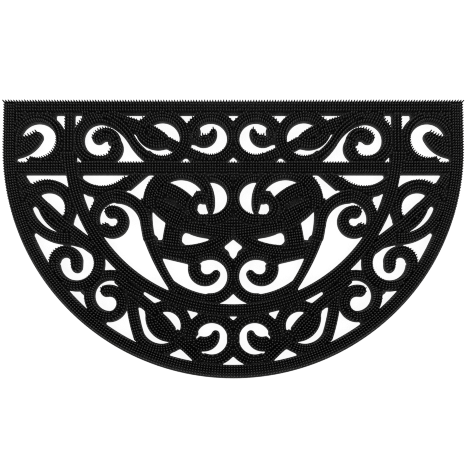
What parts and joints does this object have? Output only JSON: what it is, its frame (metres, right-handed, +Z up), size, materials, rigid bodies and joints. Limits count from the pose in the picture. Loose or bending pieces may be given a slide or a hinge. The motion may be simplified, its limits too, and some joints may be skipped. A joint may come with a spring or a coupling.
{
  "type": "half-round rubber doormat",
  "caption": "Flat half-round doormat of moulded rubber, pierced with scrollwork and covered with small scraping pins.",
  "frame": {"origin": "middle of the outline's box, on the underside", "axes": "+X along the straight back edge, +Y from the round front edge to the straight back edge, +Z up from the floor to the pin tips"},
  "size_m": [0.75, 0.453, 0.012],
  "materials": {
    "rubber": "matte black moulded rubber"
  },
  "bodies": {
    "root": {"mat": "rubber"}
  },
  "joints": []
}
